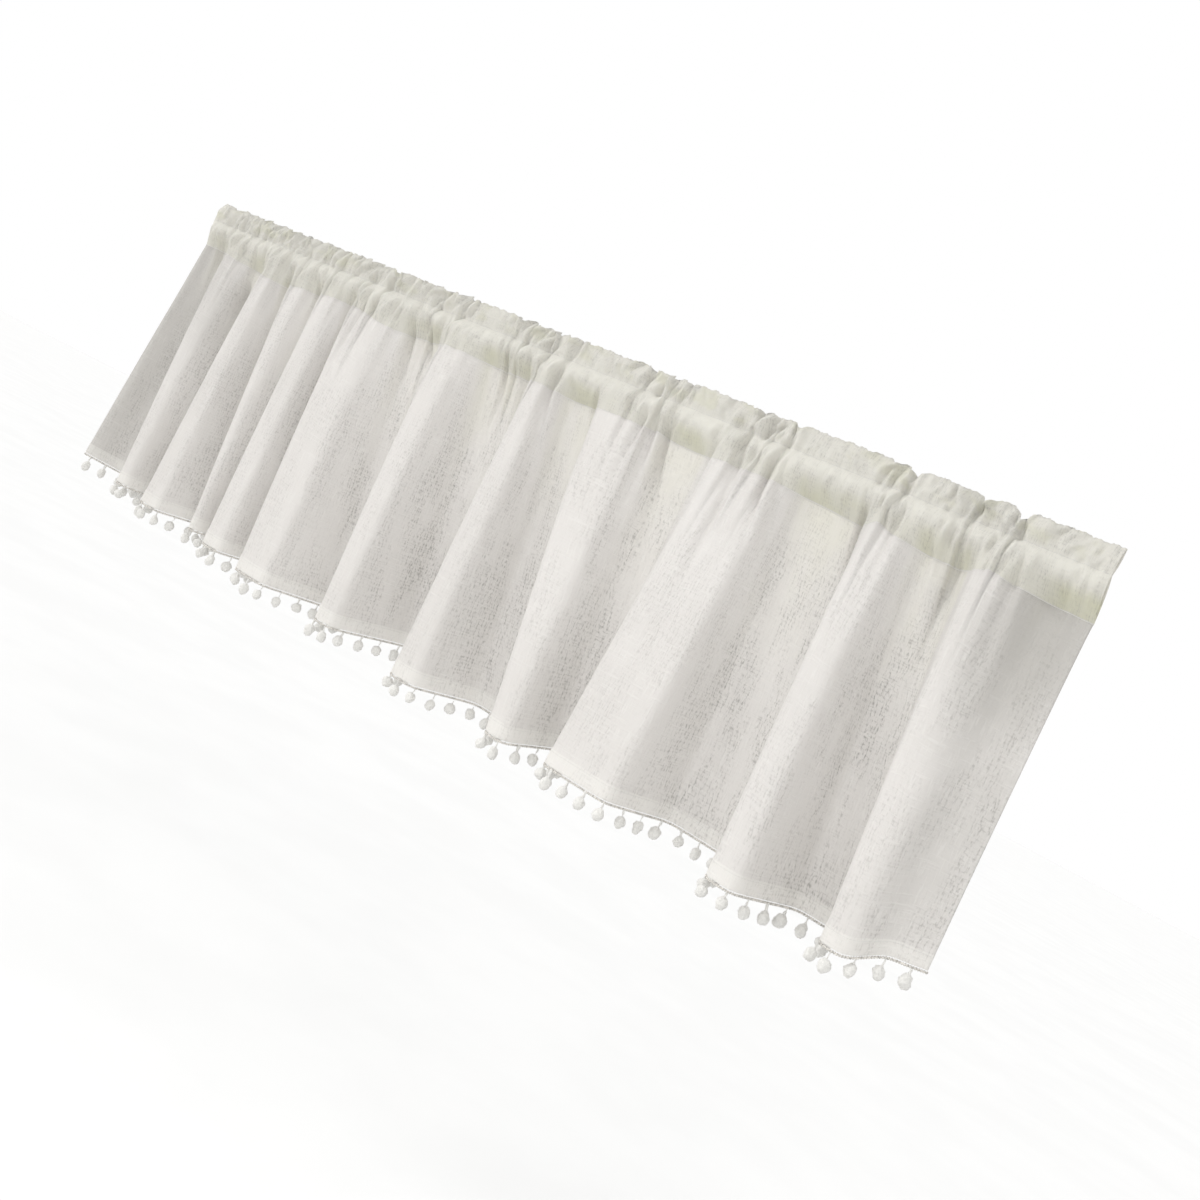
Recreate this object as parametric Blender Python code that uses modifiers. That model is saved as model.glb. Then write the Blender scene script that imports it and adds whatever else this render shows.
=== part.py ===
"""Short gathered valance: rod pocket heading, hanging skirt and pompom edging.

The row frame has its origin at the middle of the header's top edge, X along
the heading, Z up, and the face of the cloth towards -Y. Sizes are in metres.
"""
import bpy
import bmesh
import numpy as np
from mathutils import Matrix, Vector

SPAN = 1.535
DROP = 0.450
HEADER = 0.030
POCKET = 0.046
SEAM_Z = -(HEADER + POCKET)
CLEAR = 0.0008
GIMP_CLEAR = 0.0006

CLOTH = 0.0014
HEM_CLOTH = 0.0024
HEM = 0.016
DOUBLE = 0.0026
WALL = 0.0015

POCKET_FRONT = 0.0100
POCKET_BACK = 0.0085
END_FLAT = 0.020
STAND = 0.0025
SOFTEN = 0.009

GIMP_TALL = 0.0036
GIMP_THICK = 0.0022
POM_PITCH = 0.0262
POM_RADIUS = 0.0062
STEM_RADIUS = 0.0010
STEM_LONG = 0.0070

PANEL_COLUMNS = 150
PANEL_ROWS = 7

# One row per fold, left to right as seen from the front.
# crest_l, crest_r: the fold's front at the hem; front: how far it stands out.
# valley_l, valley_r: the hollow on its right at the hem; back: how deep.
# lean: how far the fold drifts to the right between the seam and the hem.
# gather: how far the fold stands out at the seam; dip: how low its hem hangs
# below the drop; sink: how low the hem hangs in the hollow on its right.
FOLDS = (
    # crest_l, crest_r, front, valley_l, valley_r, back, lean, gather, dip, sink
    (-0.759, -0.754, 0.021, -0.698, -0.660, 0.034, 0.002, 0.006, -0.004, -0.002),
    (-0.631, -0.607, 0.046, -0.586, -0.579, 0.012, 0.060, 0.013, 0.005, 0.000),
    (-0.562, -0.517, 0.044, -0.486, -0.463, 0.030, 0.025, 0.014, 0.011, 0.000),
    (-0.442, -0.428, 0.040, -0.414, -0.409, 0.002, 0.080, 0.010, 0.008, 0.002),
    (-0.394, -0.352, 0.046, -0.326, -0.319, 0.022, 0.050, 0.013, 0.014, 0.004),
    (-0.301, -0.236, 0.052, -0.192, -0.150, 0.036, 0.072, 0.015, 0.019, 0.008),
    (-0.128, -0.092, 0.046, -0.052, 0.010, 0.054, 0.057, 0.014, 0.020, 0.000),
    (0.034, 0.078, 0.048, 0.116, 0.178, 0.032, 0.039, 0.015, 0.027, 0.013),
    (0.203, 0.238, 0.042, 0.259, 0.284, 0.026, 0.097, 0.012, 0.026, 0.008),
    (0.304, 0.404, 0.050, 0.438, 0.528, 0.034, 0.000, 0.016, 0.020, 0.011),
    (0.551, 0.589, 0.052, 0.622, 0.670, 0.034, 0.038, 0.014, 0.029, 0.018),
    (0.695, 0.727, 0.054, 0.752, 0.764, -0.022, 0.051, 0.012, 0.023, 0.002),
)
# Side edges of the skirt: x at the hem, y at the hem, lean, y at the seam, and
# how low the hem hangs there.
LEFT_EDGE = (-0.764, -0.020, 0.0035, 0.006, -0.004)
RIGHT_EDGE = (0.788, -0.008, 0.0205, 0.014, -0.002)

# Soft secondary folds of the skirt, one row each: x and share of the height
# where the row starts and ends, half width, and how far it stands out.
CREASES = (
    # x_start, s_start, x_end, s_end, half_width, out
    (-0.612, 0.04, -0.604, 0.45, 0.012, -0.010),
    (-0.475, 0.00, -0.448, 0.50, 0.010, -0.010),
    (-0.354, 0.00, -0.338, 0.40, 0.010, -0.008),
    (-0.261, 0.00, -0.238, 0.40, 0.010, -0.007),
    (-0.060, 0.00, -0.030, 0.80, 0.010, 0.008),
    (0.021, 0.00, 0.062, 0.40, 0.010, -0.010),
    (0.180, 0.00, 0.198, 0.30, 0.009, -0.006),
    (0.206, 0.00, 0.250, 0.40, 0.009, -0.008),
    (0.330, 0.00, 0.352, 0.55, 0.011, -0.012),
    (0.384, 0.00, 0.406, 0.45, 0.010, -0.008),
    (0.494, 0.00, 0.510, 0.35, 0.010, -0.006),
    (0.540, 0.00, 0.552, 0.35, 0.010, -0.006),
    (0.682, 0.00, 0.714, 0.60, 0.012, -0.012),
)

# Places where the seam under the rod pocket hangs low, or high where below 0.
SAGS = (
    # x, half_width, low
    (-0.735, 0.045, -0.005),
    (-0.565, 0.060, 0.009),
    (-0.395, 0.045, -0.003),
    (-0.297, 0.040, 0.006),
    (-0.080, 0.120, -0.003),
    (0.150, 0.090, -0.003),
    (0.385, 0.060, -0.002),
    (0.490, 0.035, 0.003),
    (0.595, 0.050, 0.005),
    (0.765, 0.040, 0.003),
)

# Stitched-in gathers of the heading, one row each, left to right.
# x, half width, how far the pocket's front is drawn in, how far the header
# is pushed forward beside it, and how deep it notches the top edge.
GATHERS = (
    # x, half_width, draw, sway, notch
    (-0.734, 0.010, 0.0017, 0.0030, 0.0020),
    (-0.706, 0.009, 0.0020, -0.0030, 0.0015),
    (-0.662, 0.010, 0.0023, 0.0035, 0.0030),
    (-0.631, 0.009, 0.0020, -0.0030, 0.0015),
    (-0.587, 0.010, 0.0026, 0.0035, 0.0025),
    (-0.558, 0.009, 0.0020, -0.0035, 0.0020),
    (-0.522, 0.010, 0.0026, 0.0035, 0.0030),
    (-0.486, 0.009, 0.0020, -0.0030, 0.0015),
    (-0.451, 0.010, 0.0026, 0.0040, 0.0035),
    (-0.410, 0.009, 0.0020, -0.0035, 0.0020),
    (-0.375, 0.010, 0.0030, 0.0040, 0.0030),
    (-0.332, 0.010, 0.0023, -0.0040, 0.0035),
    (-0.292, 0.009, 0.0020, 0.0035, 0.0020),
    (-0.261, 0.010, 0.0020, -0.0030, 0.0010),
    (-0.231, 0.009, 0.0030, 0.0045, 0.0040),
    (-0.182, 0.010, 0.0026, -0.0040, 0.0030),
    (-0.082, 0.009, 0.0023, 0.0035, 0.0025),
    (-0.055, 0.009, 0.0030, -0.0045, 0.0040),
    (-0.012, 0.009, 0.0030, 0.0040, 0.0035),
    (0.024, 0.010, 0.0026, -0.0035, 0.0020),
    (0.095, 0.010, 0.0017, 0.0020, 0.0015),
    (0.152, 0.009, 0.0026, -0.0040, 0.0025),
    (0.183, 0.009, 0.0030, 0.0045, 0.0030),
    (0.211, 0.009, 0.0026, -0.0035, 0.0020),
    (0.288, 0.010, 0.0020, 0.0030, 0.0015),
    (0.322, 0.008, 0.0033, -0.0045, 0.0025),
    (0.346, 0.008, 0.0033, 0.0045, 0.0030),
    (0.374, 0.009, 0.0030, -0.0040, 0.0025),
    (0.503, 0.009, 0.0023, 0.0035, 0.0020),
    (0.529, 0.009, 0.0036, -0.0050, 0.0100),
    (0.590, 0.009, 0.0020, 0.0030, 0.0010),
    (0.612, 0.008, 0.0040, -0.0050, 0.0135),
    (0.658, 0.009, 0.0040, 0.0045, 0.0105),
)


def fold_points():
    """Control points across the skirt: hem x, hem y, lean, seam y, dip."""
    points = [LEFT_EDGE]
    for row in FOLDS:
        crest_l, crest_r, front, valley_l, valley_r, back, lean, gather, dip, sink = row
        hollow = 0.6 * gather
        points.append((crest_l, -front, lean, -gather, dip))
        points.append((crest_r, -front, None, -gather, dip))
        points.append((valley_l, back, None, hollow, sink))
        points.append((valley_r, back, None, hollow, sink))
    points.append(RIGHT_EDGE)
    known = [(p[0], p[2]) for p in points if p[2] is not None]
    at, lean = zip(*known)
    leans = np.interp([p[0] for p in points], at, lean)
    return np.array([(p[0], p[1], d, p[3], p[4]) for p, d in zip(points, leans)])


def soften(values, step, width):
    """Rounds the corners of a sampled line, its two ends held in place."""
    reach = int(4 * width / step)
    kernel = np.exp(-0.5 * (np.arange(-reach, reach + 1) * step / width) ** 2)
    kernel /= kernel.sum()
    before = 2 * values[0] - values[reach:0:-1]
    after = 2 * values[-1] - values[-2:-reach - 2:-1]
    padded = np.concatenate([before, values, after])
    return np.convolve(padded, kernel, mode="valid")


def fold_lines():
    """The skirt's plan at the seam and at the hem, sampled along the cloth."""
    points = fold_points()
    along = np.hypot(np.diff(points[:, 0]), np.diff(points[:, 1]))
    along = np.concatenate([[0.0], np.cumsum(along)])
    fine = np.linspace(0.0, along[-1], 2400)
    step = fine[1] - fine[0]
    column = [np.interp(fine, along, points[:, i]) for i in range(5)]
    hem_x, hem_y, lean, seam_y, dip = (soften(c, step, SOFTEN) for c in column)
    return {"u": fine / along[-1], "hem_x": hem_x, "hem_y": hem_y,
            "seam_x": hem_x - lean, "seam_y": seam_y, "dip": dip}


LINES = fold_lines()


def line(name, u):
    return np.interp(u, LINES["u"], LINES[name])


def crease_depth(x, s):
    """How far the secondary folds stand out of the cloth at x, share s down."""
    out = np.zeros_like(x)
    for x_start, s_start, x_end, s_end, half_width, stand in CREASES:
        run = np.clip((s - s_start) / (s_end - s_start), 0.0, 1.0)
        middle = x_start + (x_end - x_start) * run
        fade = (1.0 - run) ** 1.2
        out += stand * fade * np.exp(-((x - middle) / half_width) ** 2)
    return out


def seam_height(x):
    """Height of the seam between the heading and the skirt at x."""
    low = np.zeros_like(x)
    for at, half_width, down in SAGS:
        low += down * np.exp(-((x - at) / half_width) ** 2)
    return SEAM_Z - low


def skirt(u, s):
    """Middle of the skirt's cloth: u across it, s from seam (0) to hem (1)."""
    spread = s ** 0.75
    drift = s ** 1.1
    x = line("seam_x", u) * (1 - drift) + line("hem_x", u) * drift
    y = line("seam_y", u) * (1 - spread) + line("hem_y", u) * spread
    y = y - crease_depth(x, s)
    top = seam_height(line("seam_x", u)) - CLEAR
    z = top + (-DROP - top) * s - line("dip", u) * s ** 2
    return x, y, z


def stations(line_x, line_y, count):
    """Places across the cloth, even along a line of the fold plan."""
    far = np.hypot(np.diff(line_x), np.diff(line_y))
    far = np.concatenate([[0.0], np.cumsum(far)])
    return np.interp(np.linspace(0, far[-1], count), far, LINES["u"]), far[-1]


def material(name, colour, roughness):
    made = bpy.data.materials.new(name)
    made.use_nodes = True
    shader = made.node_tree.nodes["Principled BSDF"]
    shader.inputs["Base Color"].default_value = (*colour, 1.0)
    shader.inputs["Roughness"].default_value = roughness
    return made


def add_object(name, mesh, collection, look):
    made = bpy.data.objects.new(name, mesh)
    collection.objects.link(made)
    mesh.materials.append(look)
    return made


def apply_modifiers(made):
    """Replaces an object's mesh by the shape its modifiers give it."""
    graph = bpy.context.evaluated_depsgraph_get()
    shaped = bpy.data.meshes.new_from_object(made.evaluated_get(graph))
    made.modifiers.clear()
    made.data = shaped


def build_panel(collection, look):
    """The skirt: a flat grid laid on the folds and thickened, hem doubled."""
    u_at, _ = stations(LINES["hem_x"], LINES["hem_y"], PANEL_COLUMNS + 1)
    hem_s = 1.0 - HEM / (DROP + SEAM_Z)
    s_at = np.concatenate([np.linspace(0, 1, PANEL_ROWS - 1) ** 0.85 * hem_s * 0.985,
                           [hem_s, 1.0]])
    grid = bmesh.new()
    bmesh.ops.create_grid(grid, x_segments=PANEL_COLUMNS, y_segments=PANEL_ROWS, size=1.0)
    group_layer = grid.verts.layers.deform.verify()
    for vert in grid.verts:
        i = round((vert.co.x + 1) / 2 * PANEL_COLUMNS)
        j = PANEL_ROWS - round((vert.co.y + 1) / 2 * PANEL_ROWS)
        x, y, z = skirt(np.array([u_at[i]]), np.array([s_at[j]]))
        vert.co = (x[0], y[0], z[0])
        doubled = j >= PANEL_ROWS - 1
        vert[group_layer][0] = 1.0 if doubled else CLOTH / HEM_CLOTH
    mesh = bpy.data.meshes.new("panel")
    grid.to_mesh(mesh)
    grid.free()
    panel = add_object("panel", mesh, collection, look)
    panel.vertex_groups.new(name="layers")
    thick = panel.modifiers.new("thickness", "SOLIDIFY")
    thick.thickness = HEM_CLOTH
    thick.offset = 0.0
    thick.vertex_group = "layers"
    thick.thickness_vertex_group = 0.0
    return panel


def gather_sums(x):
    """Draw, sway and notch of the heading's gathers at x."""
    draw, sway, notch = 0.0, 0.0, 0.0
    for at, half_width, in_by, forward, cut in GATHERS:
        near = np.exp(-((x - at) / half_width) ** 2)
        beside = np.exp(-((x - at) / (2.2 * half_width)) ** 2)
        draw += in_by * near
        sway += forward * beside
        notch += cut * near
    return draw, sway, notch


def heading_rings(x, seam_y):
    """Outer and inner outline of the heading in the plane across it at x.

    The pocket is fullest above its middle, where the rod lies, and tapers
    down to the seam. It is flatter at the back and towards its open ends. The
    header stands a little in front of the pocket's middle.
    """
    draw, sway, notch = gather_sums(x)
    seam_z = seam_height(x)
    pocket = -HEADER - seam_z
    shut = 1.0 - 0.18 * np.exp(-((SPAN / 2 - abs(x)) / END_FLAT) ** 2)
    front = POCKET_FRONT * shut - 0.5 * draw
    back = POCKET_BACK * shut - 0.15 * draw
    half = DOUBLE / 2
    pinch = -0.35 * sway
    top_z = -notch
    full_z = seam_z + 0.60 * pocket
    outer = (
        (seam_y + half, seam_z),
        (0.48 * seam_y + 0.60 * back, seam_z + 0.27 * pocket),
        (back, full_z),
        (0.80 * back, seam_z + 0.84 * pocket),
        (pinch + half - STAND, -HEADER),
        (-sway + half, top_z),
        (-sway - half, top_z),
        (pinch - half - STAND, -HEADER),
        (-0.80 * front, seam_z + 0.84 * pocket),
        (-front, full_z),
        (0.48 * seam_y - 0.55 * front, seam_z + 0.27 * pocket),
        (seam_y - half, seam_z),
    )
    inner = (
        (0.70 * seam_y, seam_z + 0.0080),
        (0.45 * seam_y + 0.60 * back - WALL, seam_z + 0.30 * pocket),
        (back - WALL, full_z),
        (0.74 * back - WALL, seam_z + 0.83 * pocket),
        (0.6 * pinch - 0.8 * STAND, -HEADER - 0.0055),
        (-0.74 * front + WALL, seam_z + 0.83 * pocket),
        (-front + WALL, full_z),
        (0.45 * seam_y - 0.55 * front + WALL, seam_z + 0.30 * pocket),
    )
    return outer, inner


def heading_stations():
    """Places along the heading: each gather's bottom and shoulders."""
    places = {-SPAN / 2, SPAN / 2}
    for x, half_width, *_ in GATHERS:
        places.update((x - half_width * 1.3, x, x + half_width * 1.3))
    ordered = sorted(places)
    kept = [ordered[0]]
    for x in ordered[1:]:
        if x - kept[-1] < 0.007:
            continue
        parts = int(np.ceil((x - kept[-1]) / 0.013))
        kept.extend(np.linspace(kept[-1], x, parts + 1)[1:])
    kept[-1] = SPAN / 2
    return kept


def build_heading(collection, look):
    """Header and hollow rod pocket, lofted ring by ring along the heading."""
    seam_order = np.argsort(LINES["seam_x"])
    seam_x = LINES["seam_x"][seam_order]
    seam_y = LINES["seam_y"][seam_order]
    body = bmesh.new()
    rings = []
    for x in heading_stations():
        fold = crease_depth(np.array([x]), 0.0)[0]
        outer, inner = heading_rings(x, np.interp(x, seam_x, seam_y) - fold)
        rings.append(([body.verts.new((x, y, z)) for y, z in outer],
                      [body.verts.new((x, y, z)) for y, z in inner]))
    for last, this in zip(rings, rings[1:]):
        for a, b in zip(last, this):
            for k in range(len(a)):
                n = (k + 1) % len(a)
                body.faces.new((a[k], a[n], b[n], b[k]))
    for end in (rings[0], rings[-1]):
        rim = []
        for loop in end:
            for k, vert in enumerate(loop):
                rim.append(body.edges.get((vert, loop[(k + 1) % len(loop)])))
        bmesh.ops.triangle_fill(body, use_beauty=True, use_dissolve=False, edges=rim)
    bmesh.ops.recalc_face_normals(body, faces=body.faces)
    mesh = bpy.data.meshes.new("heading")
    body.to_mesh(mesh)
    body.free()
    return add_object("heading", mesh, collection, look)


def pompom_profile():
    """Half outline of one yarn ball and its stem, hung from the gimp strip."""
    drop = STEM_LONG + POM_RADIUS
    points = [(0.0, 0.0), (STEM_RADIUS, 0.0), (STEM_RADIUS, -STEM_LONG)]
    for turn in (52.0, 92.0, 134.0):
        angle = np.radians(turn)
        points.append((POM_RADIUS * np.sin(angle), -drop + POM_RADIUS * np.cos(angle)))
    points.append((0.0, -drop - POM_RADIUS))
    return points


def pompom_mesh():
    """One pompom, its outline turned about its stem."""
    outline = bpy.data.meshes.new("pompom outline")
    points = pompom_profile()
    edges = [(k, k + 1) for k in range(len(points) - 1)]
    outline.from_pydata([(r, 0.0, z) for r, z in points], edges, [])
    turned = bpy.data.objects.new("pompom outline", outline)
    bpy.context.scene.collection.objects.link(turned)
    screw = turned.modifiers.new("turn", "SCREW")
    screw.steps = 4
    screw.render_steps = 4
    screw.use_merge_vertices = True
    screw.merge_threshold = 0.00005
    screw.use_normal_calculate = True
    apply_modifiers(turned)
    mesh = turned.data
    bpy.data.objects.remove(turned)
    return mesh


def hem_edge():
    """Points along the hem's lower edge, one per column of the panel."""
    u_at, length = stations(LINES["hem_x"], LINES["hem_y"], PANEL_COLUMNS + 1)
    return np.stack(skirt(u_at, np.ones_like(u_at)), 1), length


def gimp_mesh():
    """The edging's woven strip, a flat band that follows the hem's edge."""
    x, y, z = hem_edge()[0].T
    across = np.stack([-np.gradient(y), np.gradient(x)], 1)
    across /= np.hypot(across[:, 0], across[:, 1])[:, None]
    top = z - GIMP_CLEAR
    body = bmesh.new()
    rings = []
    for k in range(len(x)):
        dx, dy = across[k] * GIMP_THICK / 2
        high, low = top[k], top[k] - GIMP_TALL
        corners = ((x[k] + dx, y[k] + dy, high), (x[k] - dx, y[k] - dy, high),
                   (x[k] - dx, y[k] - dy, low), (x[k] + dx, y[k] + dy, low))
        rings.append([body.verts.new(c) for c in corners])
    for a, b in zip(rings, rings[1:]):
        for k in range(4):
            n = (k + 1) % 4
            body.faces.new((a[k], a[n], b[n], b[k]))
    body.faces.new(rings[0])
    body.faces.new(rings[-1])
    bmesh.ops.recalc_face_normals(body, faces=body.faces)
    mesh = bpy.data.meshes.new("pompom_trim")
    body.to_mesh(mesh)
    body.free()
    return mesh


def build_trim(collection, tools, look):
    """Gimp strip with the yarn balls fused to it by their stems."""
    trim = add_object("pompom_trim", gimp_mesh(), collection, look)
    edge, length = hem_edge()
    count = int(length / POM_PITCH)
    along = (np.arange(count) + 0.5) / count * PANEL_COLUMNS
    x, y, z = (np.interp(along, np.arange(PANEL_COLUMNS + 1), axis) for axis in edge.T)
    rng = np.random.default_rng(11)
    ball = pompom_mesh()
    balls = bmesh.new()
    for k in range(count):
        place = Vector((x[k], y[k], z[k] - GIMP_CLEAR - 0.5 * GIMP_TALL))
        tilt = Matrix.Rotation(rng.uniform(-0.14, 0.14), 4, "X")
        tilt @= Matrix.Rotation(rng.uniform(-0.14, 0.14), 4, "Y")
        tilt @= Matrix.Rotation(rng.uniform(0.0, 1.57), 4, "Z")
        stretch = Matrix.Diagonal((*rng.uniform(0.90, 1.05, 2), rng.uniform(0.95, 1.2), 1.0))
        first = len(balls.verts)
        balls.from_mesh(ball)
        balls.verts.ensure_lookup_table()
        moved = balls.verts[first:]
        bmesh.ops.transform(balls, matrix=Matrix.Translation(place) @ tilt @ stretch, verts=moved)
    mesh = bpy.data.meshes.new("pompoms")
    balls.to_mesh(mesh)
    balls.free()
    cutter = add_object("pompoms", mesh, tools, look)
    cutter.hide_render = True
    cutter.display_type = "WIRE"
    union = trim.modifiers.new("sewn roots", "BOOLEAN")
    union.operation = "UNION"
    union.solver = "EXACT"
    union.object = cutter
    return trim


def main():
    for old in list(bpy.data.objects):
        bpy.data.objects.remove(old)
    parts = bpy.data.collections.new("gathered valance")
    tools = bpy.data.collections.new("tools")
    bpy.context.scene.collection.children.link(parts)
    bpy.context.scene.collection.children.link(tools)
    linen = material("ivory slub linen", (0.80, 0.78, 0.73), 0.9)
    heading_linen = material("ivory slub linen, heading", (0.79, 0.77, 0.70), 0.9)
    yarn = material("white cotton yarn", (0.88, 0.87, 0.84), 0.95)
    build_heading(parts, heading_linen)
    build_panel(parts, linen)
    build_trim(parts, tools, yarn)


main()
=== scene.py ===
import bpy
import numpy as np
from mathutils import Matrix, Vector


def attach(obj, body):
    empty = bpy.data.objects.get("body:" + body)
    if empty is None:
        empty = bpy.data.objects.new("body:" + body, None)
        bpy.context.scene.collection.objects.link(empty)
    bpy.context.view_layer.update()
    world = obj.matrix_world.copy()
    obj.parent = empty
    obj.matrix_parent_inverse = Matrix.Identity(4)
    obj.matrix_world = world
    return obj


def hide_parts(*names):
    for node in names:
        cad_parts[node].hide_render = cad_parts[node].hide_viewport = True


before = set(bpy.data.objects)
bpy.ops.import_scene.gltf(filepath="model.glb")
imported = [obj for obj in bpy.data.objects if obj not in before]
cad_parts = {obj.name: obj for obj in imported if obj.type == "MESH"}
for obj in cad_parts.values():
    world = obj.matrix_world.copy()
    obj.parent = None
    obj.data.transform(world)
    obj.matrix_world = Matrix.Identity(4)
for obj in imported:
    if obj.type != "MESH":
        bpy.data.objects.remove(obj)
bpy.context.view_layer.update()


# The hanging skirt: one width of semi-sheer slub linen, sewn under the rod
# pocket and hanging in a dozen uneven folds. Its lower edge is turned up twice
# and stitched as a narrow hem; the side edges are plain.

SPAN = 1.535
DROP = 0.450
HEADER = 0.030
POCKET = 0.046
SEAM_Z = -(HEADER + POCKET)
OVERLAP = 0.0003
SOFTEN = 0.009
LINEN = 0.0006
HEM = 0.016
HEM_LINEN = 0.0017
# Where the pocket's two walls meet, each lies this far from their middle.
FACE = 0.0006
FACE_DOWN = 0.1
# Powers of the way down by which the folds deepen and lean.
DEEPEN = 0.75
LEAN_OUT = 1.1
# How far the seam goes back in a hollow, as a share of how far it stands out.
HOLLOW_SHARE = 0.6

SKIRT_COLUMNS = 1040
SKIRT_ROWS = 44
PLAN_SAMPLES = 2400

# One row per fold, left to right as seen from the front.
FOLDS = (
    # crest_l, crest_r, front, valley_l, valley_r, back, lean, gather, dip, sink
    (-0.759, -0.754, 0.021, -0.698, -0.660, 0.034, 0.002, 0.006, -0.004, -0.002),
    (-0.631, -0.607, 0.046, -0.586, -0.579, 0.012, 0.060, 0.013, 0.005, 0.000),
    (-0.562, -0.517, 0.044, -0.486, -0.463, 0.030, 0.025, 0.014, 0.011, 0.000),
    (-0.442, -0.428, 0.040, -0.414, -0.409, 0.002, 0.080, 0.010, 0.008, 0.002),
    (-0.394, -0.352, 0.046, -0.326, -0.319, 0.022, 0.050, 0.013, 0.014, 0.004),
    (-0.301, -0.236, 0.052, -0.192, -0.150, 0.036, 0.072, 0.015, 0.019, 0.008),
    (-0.128, -0.092, 0.046, -0.052, 0.010, 0.054, 0.057, 0.014, 0.020, 0.000),
    (0.034, 0.078, 0.048, 0.116, 0.178, 0.032, 0.039, 0.015, 0.027, 0.013),
    (0.203, 0.238, 0.042, 0.259, 0.284, 0.026, 0.097, 0.012, 0.026, 0.008),
    (0.304, 0.404, 0.050, 0.438, 0.528, 0.034, 0.000, 0.016, 0.020, 0.011),
    (0.551, 0.589, 0.052, 0.622, 0.670, 0.034, 0.038, 0.014, 0.029, 0.018),
    (0.695, 0.727, 0.054, 0.752, 0.764, -0.022, 0.051, 0.012, 0.023, 0.002),
)
# Side edges of the skirt: x at the hem, y at the hem, lean, y at the seam, and
# how low the hem hangs there.
LEFT_EDGE = (-0.764, -0.020, 0.0035, 0.006, -0.004)
RIGHT_EDGE = (0.788, -0.008, 0.0205, 0.014, -0.002)

# Soft troughs (out below 0) and ridges laid on the folds: x and share
# of the height where each starts and ends, half width, and how far it stands.
CREASES = (
    # x_start, s_start, x_end, s_end, half_width, out
    (-0.726, 0.00, -0.700, 0.45, 0.005, -0.005),
    (-0.629, 0.10, -0.606, 0.60, 0.006, -0.019),
    (-0.606, 0.05, -0.588, 0.50, 0.008, 0.006),
    (-0.543, 0.00, -0.520, 0.40, 0.005, -0.004),
    (-0.475, 0.00, -0.448, 0.50, 0.005, -0.011),
    (-0.385, 0.13, -0.372, 0.50, 0.005, -0.012),
    (-0.356, 0.00, -0.342, 0.40, 0.005, -0.009),
    (-0.261, 0.00, -0.238, 0.40, 0.005, -0.009),
    (-0.229, 0.00, -0.192, 0.16, 0.004, -0.007),
    (-0.190, 0.00, -0.198, 0.16, 0.004, -0.007),
    (-0.158, 0.00, -0.110, 0.20, 0.005, -0.004),
    (-0.078, 0.00, -0.060, 0.32, 0.005, -0.008),
    (-0.055, 0.00, -0.030, 0.80, 0.012, 0.004),
    (-0.033, 0.00, -0.012, 0.35, 0.005, -0.004),
    (0.021, 0.00, 0.062, 0.42, 0.005, -0.012),
    (0.090, 0.00, 0.112, 0.18, 0.005, -0.004),
    (0.177, 0.00, 0.179, 0.20, 0.004, -0.004),
    (0.190, 0.00, 0.206, 0.32, 0.004, -0.007),
    (0.206, 0.00, 0.250, 0.42, 0.005, -0.011),
    (0.284, 0.00, 0.286, 0.35, 0.004, -0.007),
    (0.328, 0.00, 0.352, 0.50, 0.006, -0.013),
    (0.369, 0.00, 0.400, 0.32, 0.004, -0.009),
    (0.390, 0.00, 0.412, 0.22, 0.005, -0.005),
    (0.494, 0.00, 0.512, 0.36, 0.005, -0.010),
    (0.538, 0.00, 0.555, 0.34, 0.005, -0.010),
    (0.616, 0.00, 0.612, 0.18, 0.004, -0.004),
    (0.634, 0.00, 0.636, 0.18, 0.004, -0.004),
    (0.622, 0.00, 0.632, 0.36, 0.010, -0.007),
    (0.681, 0.00, 0.714, 0.60, 0.008, -0.012),
    (0.716, 0.00, 0.738, 0.75, 0.024, -0.012),
    (0.452, 0.10, 0.470, 1.00, 0.020, 0.002),
    (0.700, 0.30, 0.740, 1.00, 0.016, 0.003),
    (0.360, 0.20, 0.370, 1.10, 0.018, -0.004),
    (0.130, 0.20, 0.150, 1.10, 0.016, 0.002),
    (-0.270, 0.15, -0.262, 1.10, 0.018, -0.003),
    (-0.545, 0.20, -0.540, 1.10, 0.012, -0.002),
)
CREASE_START = 0.05
CREASE_WIDENS = 0.8
CREASE_FADE = 1.2

# Places where the seam under the rod pocket hangs low, or high where below 0.
SAGS = (
    # x, half_width, low
    (-0.735, 0.045, -0.005),
    (-0.655, 0.020, 0.002),
    (-0.565, 0.060, 0.009),
    (-0.395, 0.045, -0.003),
    (-0.297, 0.040, 0.006),
    (-0.080, 0.120, -0.003),
    (0.150, 0.090, -0.003),
    (0.197, 0.014, -0.003),
    (0.385, 0.060, -0.002),
    (0.490, 0.035, 0.003),
    (0.522, 0.012, -0.006),
    (0.595, 0.050, 0.005),
    (0.659, 0.014, -0.004),
    (0.765, 0.040, 0.003),
)

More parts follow.
